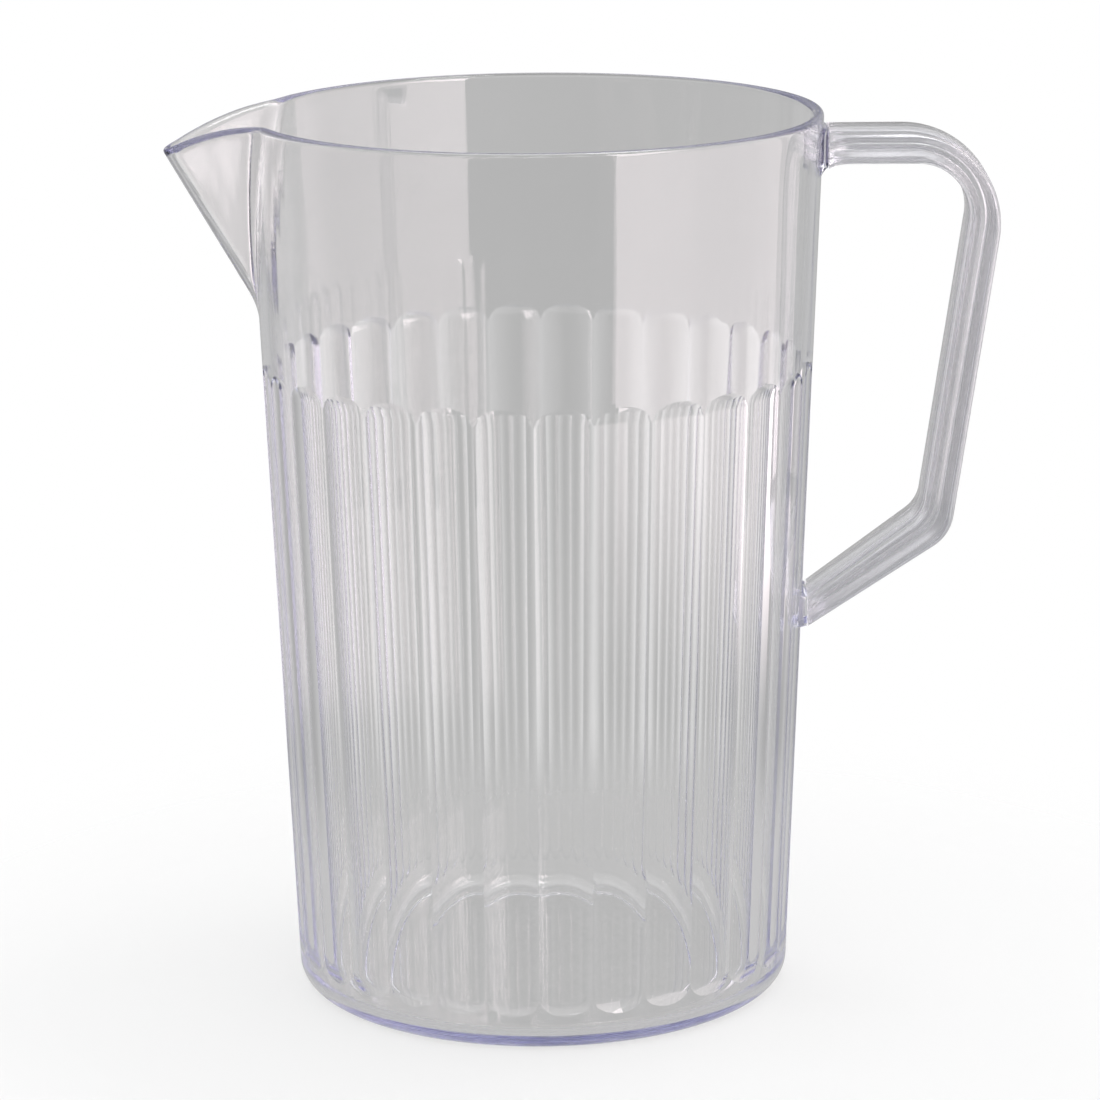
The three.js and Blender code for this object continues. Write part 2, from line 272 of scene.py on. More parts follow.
body_tree = bpy.data.node_groups.new("jug_body_skin", "GeometryNodeTree")
body_tree.is_modifier = True
body_keys = {}
for size_name in body_sizes:
    socket = body_tree.interface.new_socket(size_name, in_out="INPUT", socket_type="NodeSocketFloat")
    body_keys[size_name] = socket.identifier
plastic_key = body_tree.interface.new_socket(
    "Plastic", in_out="INPUT", socket_type="NodeSocketMaterial").identifier
body_tree.interface.new_socket("Skin", in_out="OUTPUT", socket_type="NodeSocketGeometry")
body_given = body_tree.nodes.new("NodeGroupInput")
size = {size_name: Field(body_given.outputs[size_name]) for size_name in body_sizes}

# Heights up the jug, and radii of its base
spout_root = size["Rim Height"] - size["Spout Depth"]
spout_tip = size["Rim Height"] - size["Lip Fall"]
keel_slope = size["Keel Lean"].step("TANGENT")
wall_slope = (size["Rim Radius"] - size["Foot Radius"]) / size["Rim Height"]
spout_foot = spout_root - size["Spout Blend"] / (keel_slope - wall_slope)
flute_top = spout_foot - size["Flute Gap"]
flute_bottom = size["Base Corner"] + size["Flute Lift"]
lip_radius = size["Wall"] / 2.0


def wall_radius(height):
    return size["Foot Radius"] + wall_slope * height


def keel_reach(height):
    return wall_radius(spout_root) + (height - spout_root) * keel_slope


def wedge_radius(from_keel, height, inset):
    """Distance from the axis to the rounded wedge of the spout, at an angle away from its keel."""
    side = size["Spout Half Angle"]
    middle = keel_reach(height) - size["Keel Radius"]
    nose = size["Keel Radius"] - inset
    touch = (nose * side.cosine()).step("ARCTAN2", middle + nose * side.sine())
    across = middle * from_keel.sine()
    round_part = middle * from_keel.cosine() + (nose * nose - across * across).root()
    square_on = pi / 2 - side
    flat_part = (middle * side.sine() + nose) / (from_keel.least(square_on) + side).sine()
    return from_keel.if_under(touch, round_part, flat_part)


def body_radius(angle, height, inset):
    """Distance from the axis to the wall with its spout, or to a skin inset from it."""
    plain = wall_radius(height) - inset
    wedge = wedge_radius((pi - angle).size(), height, inset)
    overlap = (size["Spout Blend"] - (plain - wedge).size()).most(0.0) / size["Spout Blend"]
    return plain.most(wedge) + overlap * overlap * size["Spout Blend"] / 4.0


def lip_height(angle):
    """Height of the lip: level round the barrel, falling in a curve to the tip of the spout."""
    start = size["Rim Radius"] * size["Spout Spread"].cosine()
    length = keel_reach(spout_tip) - start
    again = body_tree.nodes.new("GeometryNodeRepeatInput")
    found = body_tree.nodes.new("GeometryNodeRepeatOutput")
    again.pair_with_output(found)
    found.repeat_items.clear()
    found.repeat_items.new("FLOAT", "Height")
    feed(again.inputs["Iterations"], lip_passes)
    feed(again.inputs["Height"], spout_tip)
    radius = body_radius(angle, Field(again.outputs["Height"]), 0.0)
    share = (-radius * angle.cosine() - start).most(0.0) / length
    feed(found.inputs["Height"], size["Rim Height"] - size["Lip Fall"] * share * share)
    return Field(found.outputs["Height"])


def across_flute(angle):
    """From -1 at one edge of a flute, over 0 along its middle, to 1 at the other edge."""
    turns = angle * size["Flute Count"] / (2 * pi)
    return (turns - turns.step("ROUND")) * 2.0


def flute_depth(angle, past):
    across = across_flute(angle)
    return size["Flute Depth"] * (1.0 - across * across - past * past).most(0.0)


def flute_rounding(angle):
    """How far the rounded end of a flute stays back from its furthest point."""
    across = across_flute(angle)
    return size["Flute End"] * (1.0 - (1.0 - across * across).root())


def add_grid(points_round, rows, point):
    """A grid of faces that is bent to shape. point gives X, Y and Z at a share round and a share along."""
    grid = body_tree.nodes.new("GeometryNodeMeshGrid")
    feed(grid.inputs["Size X"], 1.0)
    feed(grid.inputs["Size Y"], 1.0)
    feed(grid.inputs["Vertices X"], points_round + 1)
    feed(grid.inputs["Vertices Y"], rows + 1)
    flat = body_tree.nodes.new("ShaderNodeSeparateXYZ")
    feed(flat.inputs["Vector"], Field(body_tree.nodes.new("GeometryNodeInputPosition").outputs["Position"]))
    spot = body_tree.nodes.new("ShaderNodeCombineXYZ")
    share_round, share_along = Field(flat.outputs["X"]) + 0.5, Field(flat.outputs["Y"]) + 0.5
    for place, value in zip(spot.inputs, point(share_round, share_along)):
        feed(place, value)
    lay = body_tree.nodes.new("GeometryNodeSetPosition")
    body_tree.links.new(grid.outputs["Mesh"], lay.inputs["Geometry"])
    body_tree.links.new(spot.outputs["Vector"], lay.inputs["Position"])
    return lay.outputs["Geometry"]


def closed_skin(parts):
    join = body_tree.nodes.new("GeometryNodeJoinGeometry")
    for part in parts:
        body_tree.links.new(part, join.inputs["Geometry"])
    weld = body_tree.nodes.new("GeometryNodeMergeByDistance")
    feed(weld.inputs["Distance"], closest)
    body_tree.links.new(join.outputs["Geometry"], weld.inputs["Geometry"])
    return weld.outputs["Geometry"]


skins = []


def add_skin(rows, ring):
    """One band of the skin. ring gives the angle, radius and height at a share round and a share along."""
    def point(turn, along):
        angle, radius, height = ring(turn, along)
        return radius * angle.cosine() + size["Axis"], radius * angle.sine(), height

    skins.append(add_grid(columns, rows, point))


def even(turn):
    return turn * (2 * pi)


def crowded(turn, share):
    """Angles that crowd towards the keel, fully so where share is 1."""
    from_keel = even(turn) - pi
    pull = (from_keel * (pi / crowding_reach)).sine() * (crowding * crowding_reach / pi)
    return even(turn) - from_keel.size().if_under(crowding_reach, pull, 0.0 * pull) * share


# Underside: a shallow hollow, the slope to the standing ring, the ring and the rounded base corner
stand_outer = wall_radius(size["Base Corner"]) - size["Base Corner"]
stand_inner = stand_outer - size["Stand Width"]
hollow_edge = stand_inner - size["Stand Slope"]
add_skin(hollow_rows, lambda turn, along: (even(turn), hollow_edge * along, size["Stand Depth"]))
add_skin(slope_rows, lambda turn, along: (
    even(turn),
    hollow_edge.until(stand_inner, along),
    size["Stand Depth"] * (1.0 - along * along * (3.0 - 2.0 * along))))
add_skin(stand_rows, lambda turn, along: (even(turn), stand_inner.until(stand_outer, along), 0.0))
add_skin(corner_rows, lambda turn, along: (
    even(turn),
    stand_outer + size["Base Corner"] * (along * (pi / 2)).sine(),
    size["Base Corner"] * (1.0 - (along * (pi / 2)).cosine())))


# Outside of the barrel: its plain foot, the flutes with their rounded ends, and a plain band
def plain_foot(turn, along):
    top = flute_bottom + flute_rounding(even(turn))
    height = size["Base Corner"].until(top, along)
    return even(turn), wall_radius(height), height


def flute_start(turn, along):
    back = flute_rounding(even(turn)).until(size["Flute End"], along)
    height = flute_bottom + back
    depth = flute_depth(even(turn), 1.0 - back / size["Flute End"])
    return even(turn), wall_radius(height) - depth, height


def flute_run(turn, along):
    bottom = flute_bottom + size["Flute End"]
    height = bottom.until(flute_top - size["Flute End"], along)
    return even(turn), wall_radius(height) - flute_depth(even(turn), 0.0), height


def flute_finish(turn, along):
    back = size["Flute End"].until(flute_rounding(even(turn)), along)
    height = flute_top - back
    depth = flute_depth(even(turn), 1.0 - back / size["Flute End"])
    return even(turn), wall_radius(height) - depth, height


def plain_band(turn, along):
    bottom = flute_top - flute_rounding(even(turn))
    height = bottom.until(spout_foot, along)
    return even(turn), wall_radius(height), height


add_skin(foot_rows, plain_foot)
add_skin(flute_end_rows, flute_start)
add_skin(flute_rows, flute_run)
add_skin(flute_end_rows, flute_finish)
add_skin(band_rows, plain_band)


# The spout and the upper wall: up the outside, over the rounded lip and down the inside
def spout(turn, along):
    row = along * float(2 * spout_rows + lip_rows)
    rising = (row / float(spout_rows)).held()
    swing = ((row - float(spout_rows)) / float(lip_rows)).held() * pi
    falling = ((row - float(spout_rows + lip_rows)) / float(spout_rows)).held()
    angle = crowded(turn, rising - falling)
    wall_top = lip_height(angle) - lip_radius
    height = spout_foot.until(wall_top, rising - falling) + lip_radius * swing.sine()
    return angle, body_radius(angle, height, lip_radius * (1.0 - swing.cosine())), height


add_skin(2 * spout_rows + lip_rows, spout)

# Inside of the barrel, its rounded corner and the floor
corner_top = size["Floor Height"] + size["Inner Corner"]
corner_middle = wall_radius(corner_top) - size["Wall"] - size["Inner Corner"]


def inside(turn, along):
    height = spout_foot.until(corner_top, along)
    return even(turn), wall_radius(height) - size["Wall"], height


add_skin(inside_rows, inside)
add_skin(inner_corner_rows, lambda turn, along: (
    even(turn),
    corner_middle + size["Inner Corner"] * (along * (pi / 2)).cosine(),
    corner_top - size["Inner Corner"] * (along * (pi / 2)).sine()))
add_skin(inner_floor_rows, lambda turn, along: (
    even(turn), corner_middle * (1.0 - along), size["Floor Height"]))


# A seat: a flat pad for one end of the handle, which widens in a hollow curve into the wall
def seat_pad(place):
    middle, flare = size[place + " Seat Middle"], size[place + " Seat Flare"]
    half_height = size[place + " Seat Height"] / 2.0
    face = wall_radius(middle) + size["Seat Height"]
    length = size["Seat Height"] + size["Seat Bite"]
    room_above = size["Rim Height"] - lip_radius - middle - half_height

    def point(turn, along):
        row = along * float(seat_rows + 2)
        spread = row.held() - (row - float(seat_rows + 1)).held()
        sunk = 1.0 - ((row - 1.0) / float(seat_rows)).held()
        widen = flare * sunk * sunk.root()
        corner = even(turn) + pi / 4
        across, upward = [
            part.step("SIGN") * (part.size() - closest).most(0.0).step("POWER", 2.0 / seat_squareness)
            for part in (corner.cosine(), corner.sine())]
        heighten = upward.if_under(0.0, widen, widen.least(room_above))
        return (
            face - length * sunk + size["Axis"],
            across * (size["Seat Half Width"] + widen) * spread,
            middle + upward * (half_height + heighten) * spread)

    return closed_skin([add_grid(seat_columns, seat_rows + 2, point)])


fuse = body_tree.nodes.new("GeometryNodeMeshBoolean")
fuse.operation = "UNION"
fuse.solver = "MANIFOLD"
for whole in (closed_skin(skins), seat_pad("Upper"), seat_pad("Lower")):
    body_tree.links.new(whole, fuse.inputs["Mesh 2"])
smooth = body_tree.nodes.new("GeometryNodeSetShadeSmooth")
body_tree.links.new(fuse.outputs["Mesh"], smooth.inputs["Geometry"])
edge_angle = body_tree.nodes.new("GeometryNodeInputMeshEdgeAngle")
is_crisp = Field(edge_angle.outputs["Unsigned Angle"]).step("GREATER_THAN", crease)
crisp = body_tree.nodes.new("GeometryNodeSetShadeSmooth")
crisp.domain = "EDGE"
crisp.inputs["Shade Smooth"].default_value = False
body_tree.links.new(smooth.outputs["Geometry"], crisp.inputs["Geometry"])
body_tree.links.new(is_crisp.socket, crisp.inputs["Selection"])
realize = body_tree.nodes.new("GeometryNodeRealizeInstances")
body_tree.links.new(crisp.outputs["Geometry"], realize.inputs["Geometry"])
dress = body_tree.nodes.new("GeometryNodeSetMaterial")
body_tree.links.new(realize.outputs["Geometry"], dress.inputs["Geometry"])
body_tree.links.new(body_given.outputs["Plastic"], dress.inputs["Material"])
body_result = body_tree.nodes.new("NodeGroupOutput")
body_tree.links.new(dress.outputs["Geometry"], body_result.inputs["Skin"])

body_plastic = clear_plastic(
    "clear_body_plastic",
    tint=(0.965, 0.964, 0.958),
    paler_tint=(0.985, 0.984, 0.978),
    wave_stretch=(0.012, 0.012, 0.12),
    scuffed_below=0.0006)
jug_body = bpy.data.objects.new("jug_body_moulding", bpy.data.meshes.new("jug_body_moulding"))
bpy.context.scene.collection.objects.link(jug_body)
body_rule = jug_body.modifiers.new("skin", "NODES")
body_rule.node_group = body_tree
for size_name, value in body_sizes.items():
    body_rule[body_keys[size_name]] = value
body_rule[plastic_key] = body_plastic
evaluated = jug_body.evaluated_get(bpy.context.evaluated_depsgraph_get())
jug_body.data = bpy.data.meshes.new_from_object(evaluated)
jug_body.modifiers.clear()
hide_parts("jug_body")
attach(jug_body, "root")

# Handle
# A second clear moulding: a bent bar with rounded edges and a groove along each side, so that its section
# is an H. Its two flat ends are bonded to the seats on the wall, with a film of bond between. Its surface is
# duller than the barrel's, and its plastic is tinted darker than the barrel's, which is painted shade.
bar_thickness = 0.0078
bar_half_width = 0.00725
bar_edge = 0.0012  # rounding of the long edges
arm_drop = 0.004  # from the rim down to the top of the upper arm
arm_top = body_sizes["Rim Height"] - arm_drop
grip_lean = 8.5  # degrees, as are the slope and the taper of the foot
upper_bend = 0.022, 0.0114  # radii outside and inside
lower_bend = 0.0103, 0.008
foot_cut = 0.008
foot_slope = 35.0
foot_taper = 3.6
groove_half_width = 0.0015
groove_depth = 0.0018
groove_margin = 0.0009  # plain length left past the run-out
groove_softness = 0.6  # share of the groove's half width over which its edges are rounded
groove_end = 0.006  # length over which each end of the groove runs out
root_fillet = 0.001  # how much deeper the upper arm grows under its root
root_length = 0.004  # and over what length
bond_gap = 0.0003
half_rise = 0.06  # from the foot up to where the upper half of the bar starts
crisp_edge = radians(40)  # a sharper edge than this stays crisp
arm_steps, grip_steps, foot_steps = 44, 24, 60  # sections along the straight runs
upper_bend_steps, lower_bend_steps = 24, 20
wall_taper = (body_sizes["Rim Radius"] - body_sizes["Foot Radius"]) / body_sizes["Rim Height"]


def seat_face(place):
    middle = body_sizes[place + " Seat Middle"]
    return body_sizes["Foot Radius"] + wall_taper * middle + body_sizes["Seat Height"]


def edge_line(x, z, heading, inset=0.0):
    """A straight edge of the bar seen from the side: a point on it and the way it runs, in degrees."""
    a = radians(heading)
    return x + inset * sin(a), z - inset * cos(a), heading


def bend(before, after, radius, steps):
    """Points on the arc between two straight edges. It turns right, or left if the radius is negative."""
    a, b = radians(before[2]), radians(after[2])
    one = edge_line(*before, radius)
    two = edge_line(*after, radius)
    along = ((two[0] - one[0]) * sin(b) - (two[1] - one[1]) * cos(b)) / sin(b - a)
    middle_x, middle_z = one[0] + along * cos(a), one[1] + along * sin(a)
    side = pi / 2 if radius > 0 else -pi / 2
    angles = [a + side + (b - a) * step / steps for step in range(steps + 1)]
    return [(middle_x + abs(radius) * cos(t), middle_z + abs(radius) * sin(t)) for t in angles]


def on_line(line, x):
    return x, line[1] + (x - line[0]) * tan(radians(line[2]))


def ease_run(start, end, steps, dense_start):
    """Points on a straight run, closer together towards one end."""
    shares = [(step / steps) ** 2 for step in range(steps + 1)]
    if not dense_start:
        shares = [1 - share for share in reversed(shares)]
    return [(start[0] + (end[0] - start[0]) * s, start[1] + (end[1] - start[1]) * s) for s in shares]


lean = radians(grip_lean)
grip_x = body_sizes["Rim Radius"] + handle_reach - upper_bend[0] * (1 - cos(lean))
grip_z = arm_top - upper_bend[0] * (1 + sin(lean))
foot_middle = body_sizes["Lower Seat Middle"]
upper_half = foot_middle + half_rise
root_x = seat_face("Upper") + bond_gap
foot_x = seat_face("Lower") + bond_gap
line_top = edge_line(0.0, arm_top, 0.0)
line_outside = edge_line(grip_x, grip_z, -90 - grip_lean)
line_below = edge_line(seat_face("Lower"), foot_middle - foot_cut / 2, foot_slope - foot_taper / 2 - 180)
line_above = edge_line(seat_face("Lower"), foot_middle + foot_cut / 2, foot_slope + foot_taper / 2 - 180)
line_inside = edge_line(grip_x, grip_z, -90 - grip_lean, bar_thickness)
line_under = edge_line(0.0, arm_top - bar_thickness, 0.0)


def bar_edge_points(first, second, third, bends):
    """Points along one edge of the bar, from its root over both bends to its foot."""
    upper = bend(first, second, bends[0], upper_bend_steps)
    lower = bend(second, third, bends[1], lower_bend_steps)
    return [
        *ease_run(on_line(first, root_x), upper[0], arm_steps, True)[:-1],
        *upper[:-1],
        *ease_run(upper[-1], lower[0], grip_steps, True)[:-1],
        *lower[:-1],
        *ease_run(lower[-1], on_line(third, foot_x), foot_steps, False)]


outer_points = bar_edge_points(line_top, line_outside, line_below, upper_bend[:1] + lower_bend[:1])
inner_points = bar_edge_points(line_under, line_inside, line_above, upper_bend[1:] + lower_bend[1:])


def bar_section(half_thickness, past_end):
    """Points round the bar's section, as distances across its thickness and its width.
    past_end is how far into the run-out of the groove this section lies, 0 where it is whole."""
    quarter = []
    flat_steps, corner_steps, groove_steps = 5, 6, 18
    straight_width = bar_half_width - bar_edge
    for step in range(flat_steps):
        quarter.append((half_thickness, straight_width * step / flat_steps))
    for step in range(corner_steps):
        a = pi / 2 * step / corner_steps
        quarter.append((half_thickness - bar_edge * (1 - cos(a)), straight_width + bar_edge * sin(a)))
    flank = half_thickness - bar_edge
    for step in range(groove_steps):
        t = flank * (1 - step / groove_steps)
        reach = hypot(t / groove_half_width, past_end)
        rise = min(max((1 + groove_softness - reach) / (2 * groove_softness), 0.0), 1.0)
        quarter.append((t, bar_half_width - groove_depth * rise * rise * (3 - 2 * rise)))
    rise = min(max((1 + groove_softness - past_end) / (2 * groove_softness), 0.0), 1.0)
    middle = (0.0, bar_half_width - groove_depth * rise * rise * (3 - 2 * rise))
    right = [*quarter, middle, *[(-t, y) for t, y in reversed(quarter)]]
    return [*right, *[(t, -y) for t, y in reversed(right[1:-1])]]


bar_points, bar_faces, bar_places = [], [], []
bar_run = 0.0
for (ox, oz), (ix, iz) in zip(outer_points, inner_points):
    # How far the nearer end of the bar is, and with it how far the groove has run out
    plain_x, plain_z = (ox + ix) / 2, (oz + iz) / 2
    clear = hypot(plain_x - foot_x, plain_z - foot_middle)
    if plain_z >= upper_half:
        clear = min(plain_x - root_x, clear)
    past_end = max((groove_margin + groove_end - clear) / groove_end, 0.0)
    # The upper arm deepens towards its root
    if iz > upper_half:
        iz -= root_fillet * max(1 - (ix - root_x) / root_length, 0.0) ** 2
    # One section of the bar, and the faces that join it to the one before
    half = hypot(ox - ix, oz - iz) / 2
    middle_x, middle_z = (ox + ix) / 2, (oz + iz) / 2
    way_x, way_z = (ox - ix) / 2 / half, (oz - iz) / 2 / half
    start = len(bar_points)
    if start:
        bar_run += hypot(middle_x - last_middle[0], middle_z - last_middle[1])
    last_middle = middle_x, middle_z
    section = bar_section(half, past_end)
    bar_places += [value for t, y in section for value in (t, y, bar_run)]
    bar_points += [(axis_x + middle_x + t * way_x, y, middle_z + t * way_z) for t, y in section]
    if start:
        count = len(section)
        for i in range(count):
            j = (i + 1) % count
            bar_faces.append((start + i, start + j, start - count + j, start - count + i))
count = len(section)
bar_faces.append(tuple(range(count)))
bar_faces.append(tuple(reversed(range(len(bar_points) - count, len(bar_points)))))

bar_mesh = bpy.data.meshes.new("handle_bar")
bar_mesh.from_pydata(bar_points, [], bar_faces)
bar_mesh.shade_smooth()
bar_mesh.set_sharp_from_angle(angle=crisp_edge)
# Where each point lies: across the bar's thickness, across its width and along it
bar_place = bar_mesh.attributes.new("bar_place", "FLOAT_VECTOR", "POINT")
bar_place.data.foreach_set("vector", bar_places)
# Painted shade: this is the barrel's plastic with a darker tint, so that the thick bar looks shaded.
handle_plastic_with_painted_shade = clear_plastic(
    "clear_handle_plastic",
    tint=(0.86, 0.86, 0.86),
    paler_tint=(0.92, 0.92, 0.92),
    wave_stretch=(0.0008, 0.0008, 0.12),
    wave_place="bar_place")
bar_mesh.materials.append(handle_plastic_with_painted_shade)
handle = bpy.data.objects.new("handle_bar", bar_mesh)
bpy.context.scene.collection.objects.link(handle)
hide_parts("handle")
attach(handle, "root")

# Floor
# A plain pale round table top, matt, on which the jug stands. It fades out into the white backdrop, and shows
# grey through the plastic, as the studio does.
floor_radius = 0.22
floor_plain = 0.12  # radius inside which it is whole
shadow_share = 0.4  # share of the jug's shadow that shows on it, seen directly
hidden_shadow_share = 0.05  # and seen through the plastic
floor_grey = 0.55  # brightness that shows through the plastic
floor_colour = 0.93, 0.93, 0.93, 1.0
floor_rings, floor_spokes = 12, 96
floor_points = [(0.0, 0.0, 0.0)]
floor_faces = []
for ring in range(1, floor_rings + 1):
    for spoke in range(floor_spokes):
        a = 2 * pi * spoke / floor_spokes
        r = floor_radius * ring / floor_rings
        floor_points.append((r * cos(a), r * sin(a), 0.0))
for spoke in range(floor_spokes):
    following = (spoke + 1) % floor_spokes
    floor_faces.append((0, 1 + spoke, 1 + following))
    for ring in range(floor_rings - 1):
        inner, outer = 1 + ring * floor_spokes, 1 + (ring + 1) * floor_spokes
        floor_faces.append((inner + spoke, outer + spoke, outer + following, inner + following))
floor_mesh = bpy.data.meshes.new("floor")
floor_mesh.from_pydata(floor_points, [], floor_faces)
floor = bpy.data.objects.new("floor", floor_mesh)
bpy.context.scene.collection.objects.link(floor)
floor_paint = bpy.data.materials.new("floor_paint")
floor_paint.use_nodes = True
nodes, links = floor_paint.node_tree.nodes, floor_paint.node_tree.links
nodes["Principled BSDF"].inputs["Base Color"].default_value = floor_colour
nodes["Principled BSDF"].inputs["Roughness"].default_value = 1.0
nodes["Principled BSDF"].inputs["Specular IOR Level"].default_value = 0.0
path = nodes.new("ShaderNodeLightPath")
is_direct = Field(path.outputs["Is Camera Ray"])
is_in_plastic = Field(path.outputs["Is Glossy Ray"]).most(Field(path.outputs["Is Transmission Ray"]))
is_seen = is_direct.most(is_in_plastic)
glow = nodes.new("ShaderNodeEmission")
feed(glow.inputs["Strength"], floor_grey + (1.0 - floor_grey) * is_direct)
lit_floor = nodes.new("ShaderNodeMixShader")
glow_share = 1.0 - hidden_shadow_share + (hidden_shadow_share - shadow_share) * is_direct
feed(lit_floor.inputs["Fac"], is_seen * glow_share)
links.new(nodes["Principled BSDF"].outputs["BSDF"], lit_floor.inputs[1])
links.new(glow.outputs["Emission"], lit_floor.inputs[2])
from_middle = nodes.new("ShaderNodeVectorMath")
from_middle.operation = "LENGTH"
links.new(nodes.new("ShaderNodeTexCoord").outputs["Object"], from_middle.inputs[0])
fade = nodes.new("ShaderNodeMapRange")
fade.interpolation_type = "SMOOTHSTEP"
fade.inputs["From Min"].default_value = floor_plain
fade.inputs["From Max"].default_value = floor_radius
links.new(from_middle.outputs["Value"], fade.inputs["Value"])
whole_floor = nodes.new("ShaderNodeMixShader")
links.new(fade.outputs["Result"], whole_floor.inputs["Fac"])
links.new(lit_floor.outputs["Shader"], whole_floor.inputs[1])
links.new(nodes.new("ShaderNodeBsdfTransparent").outputs["BSDF"], whole_floor.inputs[2])
links.new(whole_floor.outputs["Shader"], nodes["Material Output"].inputs["Surface"])
floor_mesh.materials.append(floor_paint)

# Light panel
# A tall white cloth panel, bent round the jug to the right of the camera: the main soft light of the studio.
# Only the glossy plastic shows it, as a mirror does, and it is brightest near the camera and high up.
panel_radius = 0.872
panel_turn = radians(31.5), radians(128)  # its two upright edges, measured from the camera
panel_height = -0.215, 1.1
panel_foot_fade = 0.13  # height over which its lower edge fades
panel_colour = 1.0, 0.91, 0.93, 1.0
panel_light = 2.85
panel_far_share = 0.55  # of that light is left at its far edge
panel_high_light = 6.0  # more light high up on its near side
panel_high = 0.565, 0.59  # heights between which that starts, at the turn below
panel_high_from = radians(66)
panel_high_slope = 0.57  # how much lower it starts on the near side, in metres to a radian
panel_high_turn = radians(45), radians(80)  # turns between which it ends
panel_columns, panel_rows = 36, 12
panel_points, panel_faces = [], []
for row in range(panel_rows + 1):
    for column in range(panel_columns + 1):
        a = panel_turn[0] + (panel_turn[1] - panel_turn[0]) * column / panel_columns
        z = panel_height[0] + (panel_height[1] - panel_height[0]) * row / panel_rows
        panel_points.append((axis_x + panel_radius * sin(a), -panel_radius * cos(a), z))
        if row and column:
            i = row * (panel_columns + 1) + column
            panel_faces.append((i, i - 1, i - panel_columns - 2, i - panel_columns - 1))
panel_mesh = bpy.data.meshes.new("light_panel")
panel_mesh.from_pydata(panel_points, [], panel_faces)
light_panel = bpy.data.objects.new("light_panel", panel_mesh)
bpy.context.scene.collection.objects.link(light_panel)
panel_cloth = bpy.data.materials.new("panel_cloth")
panel_cloth.use_nodes = True
panel_cloth.cycles.emission_sampling = "NONE"
nodes, links = panel_cloth.node_tree.nodes, panel_cloth.node_tree.links
nodes.remove(nodes["Principled BSDF"])
spot = nodes.new("ShaderNodeSeparateXYZ")
links.new(nodes.new("ShaderNodeTexCoord").outputs["Object"], spot.inputs["Vector"])


def ramp(value, low, high):
    """Rises smoothly from 0 at low to 1 at high."""
    node = value.socket.id_data.nodes.new("ShaderNodeMapRange")
    node.interpolation_type = "SMOOTHSTEP"
    node.inputs["From Min"].default_value = low
    node.inputs["From Max"].default_value = high
    feed(node.inputs["Value"], value)
    return Field(node.outputs["Result"])


panel_turned = (Field(spot.outputs["X"]) - axis_x).step("ARCTAN2", -Field(spot.outputs["Y"]))
panel_up = Field(spot.outputs["Z"])
panel_slanted = panel_up - panel_high_slope * (panel_turned - panel_high_from)
cloth = nodes.new("ShaderNodeEmission")
cloth.inputs["Color"].default_value = panel_colour
whole_light = panel_light * (1.0 - (1.0 - panel_far_share) * ramp(panel_turned, *panel_turn))
near_side = 1.0 - ramp(panel_turned, *panel_high_turn)
high_light = panel_high_light * ramp(panel_slanted, *panel_high) * near_side
feed(cloth.inputs["Strength"], whole_light + high_light)
is_mirrored = Field(nodes.new("ShaderNodeLightPath").outputs["Glossy Depth"]).least(1.0)
shown = nodes.new("ShaderNodeMixShader")
feed(shown.inputs["Fac"], is_mirrored * ramp(panel_up, panel_height[0], panel_height[0] + panel_foot_fade))
links.new(nodes.new("ShaderNodeBsdfTransparent").outputs["BSDF"], shown.inputs[1])
links.new(cloth.outputs["Emission"], shown.inputs[2])
links.new(shown.outputs["Shader"], nodes["Material Output"].inputs["Surface"])
panel_mesh.materials.append(panel_cloth)

# Studio light
# A grey studio round the jug, with paler upright strips in its walls, a bright ceiling and one soft lamp.
# The plastic mirrors it and lets it show through, and what the camera sees past the jug is white.
camera_side = radians(-112), radians(112)  # edges of the studio's side that the camera is on
edge_softness = 0.04  # radians over which those edges fade
camera_side_light = 0.48
wall_light = 0.42
ceiling_light = 1.5
ceiling_edge = 0.4, 0.7  # sines of the heights between which the ceiling starts
ground_light = 0.25  # of the dark ground below the table
ground_edge = 0.4, 0.75
studio_grey = 0.5  # brightness of the studio that shows straight through the plastic
strip_count = 8  # paler upright strips in the studio's walls
strip_light = 0.3
strip_mirrored_share = 0.5  # of that light is mirrored
lamp_size = 0.3
lamp_power = 1.2
lamp_place = Vector((0.25, 0.15, 1.1))
lamp_aim = Vector((0.0, 0.0, 0.1))

world = bpy.data.worlds.new("studio")
world.use_nodes = True
bpy.context.scene.world = world
nodes, links = world.node_tree.nodes, world.node_tree.links
sky_way = nodes.new("ShaderNodeSeparateXYZ")
links.new(nodes.new("ShaderNodeTexCoord").outputs["Generated"], sky_way.inputs["Vector"])
way_x, way_y, way_z = [Field(sky_way.outputs[axis]) for axis in "XYZ"]
from_camera = way_x.step("ARCTAN2", -way_y)  # 0 at the camera, positive to its right


def between(value, edges):
    """1 between two edges and 0 beyond them, with soft edges."""
    first, last = [ramp(value, edge - edge_softness / 2, edge + edge_softness / 2) for edge in edges]
    return first - last


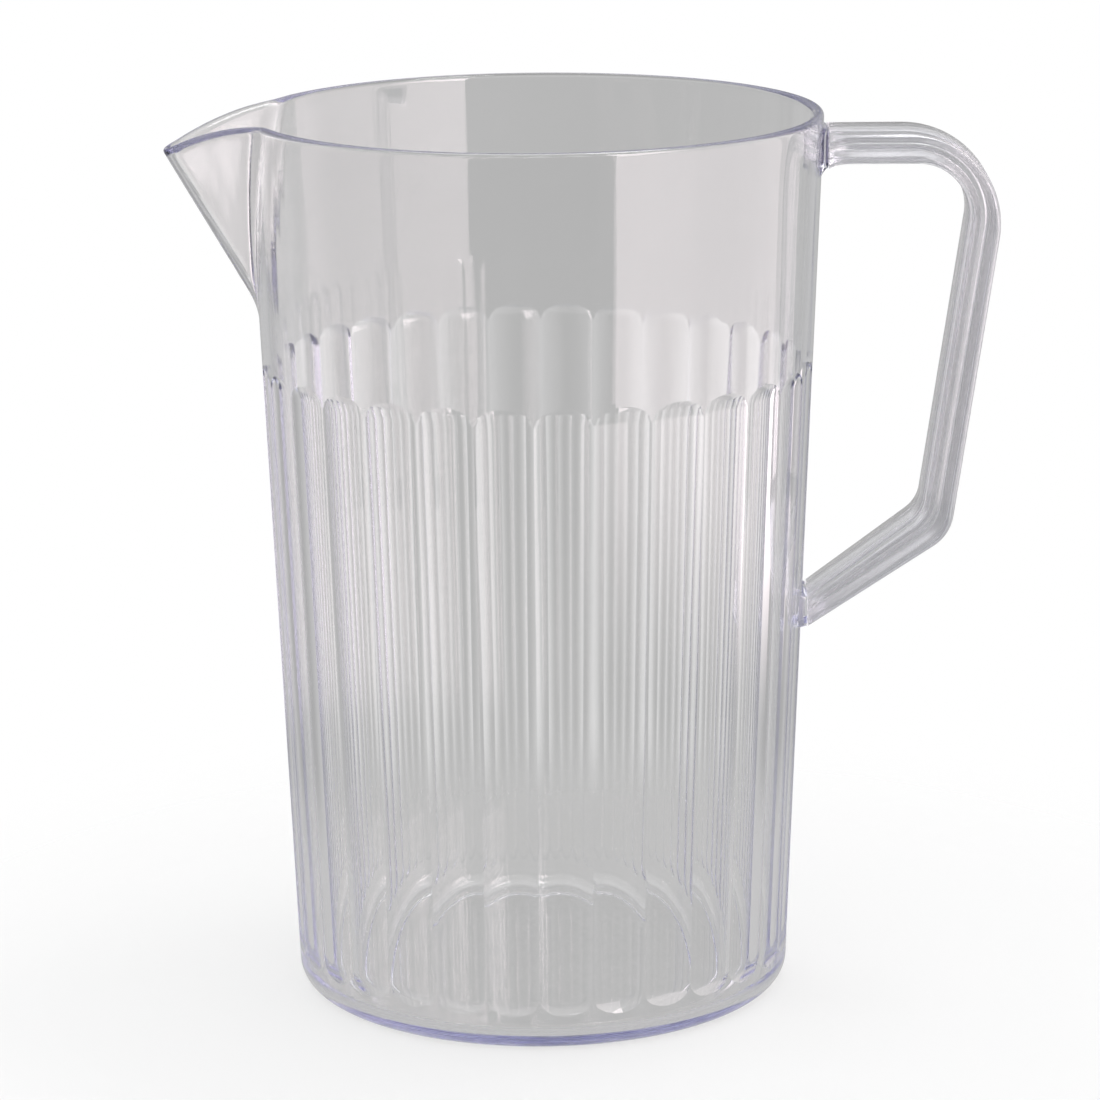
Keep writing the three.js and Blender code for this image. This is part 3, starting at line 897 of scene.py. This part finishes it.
# What is mirrored, also on the way through, and what shows through the plastic without a mirror
strips = strip_light / 2 * (1.0 - (from_camera * float(strip_count)).cosine())
far_wall = wall_light + strips * strip_mirrored_share
wall_mirrored = far_wall.until(camera_side_light, between(from_camera, camera_side))
mirrored_light = wall_mirrored.until(ceiling_light, ramp(way_z, *ceiling_edge))
seen_light = (studio_grey + strips).until(ground_light, ramp(-way_z, *ground_edge))
path = nodes.new("ShaderNodeLightPath")
is_mirrored = Field(path.outputs["Glossy Depth"]).least(1.0)
is_through = Field(path.outputs["Is Transmission Ray"])
light = (1.0 + (seen_light - 1.0) * is_through).until(mirrored_light, is_mirrored)
feed(nodes["Background"].inputs["Strength"], light)
nodes["Background"].inputs["Color"].default_value = (1.0, 1.0, 1.0, 1.0)

lamp_data = bpy.data.lights.new("soft_top", "AREA")
lamp_data.shape = "DISK"
lamp_data.size = lamp_size
lamp_data.energy = lamp_power
lamp = bpy.data.objects.new("soft_top", lamp_data)
lamp.location = lamp_place
lamp.rotation_euler = (lamp_aim - lamp_place).to_track_quat("-Z", "Y").to_euler()
bpy.context.scene.collection.objects.link(lamp)

# Camera
# It stands about a metre away, well above the rim, and looks down on the jug. Its place and lens come from
# the outline of the jug in the picture.
camera_distance = 0.98197
camera_height = 0.3452
camera_pitch = 0.2424  # radians, as are the yaw and the roll
camera_yaw = 0.0025
camera_roll = -0.009
jug_turn = radians(0.9)  # the jug is turned this much from square to the camera
focal_pixels = 4355.66  # focal length, in pixels of a frame of frame_pixels
frame_pixels = 1100
sensor_width = 36.0
level = cos(camera_pitch)
forward = Vector((sin(camera_yaw) * level, cos(camera_yaw) * level, -sin(camera_pitch)))
right = forward.cross(Vector((0, 0, 1))).normalized()
up = right.cross(forward)
rolled_right = right * cos(camera_roll) + up * sin(camera_roll)
rolled_up = up * cos(camera_roll) - right * sin(camera_roll)
turn = Matrix.Rotation(jug_turn, 3, "Z")
camera_axes = Matrix((turn @ rolled_right, turn @ rolled_up, turn @ -forward)).transposed()
camera_spot = turn @ Vector((0.0, -camera_distance, camera_height)) + Vector((axis_x, 0.0, 0.0))
camera_data = bpy.data.cameras.new("camera")
camera_data.sensor_width = sensor_width
camera_data.lens = sensor_width * focal_pixels / frame_pixels
camera = bpy.data.objects.new("camera", camera_data)
camera.matrix_world = Matrix.Translation(camera_spot) @ camera_axes.to_4x4()
bpy.context.scene.collection.objects.link(camera)
bpy.context.scene.camera = camera
bpy.context.scene.view_settings.view_transform = "Standard"
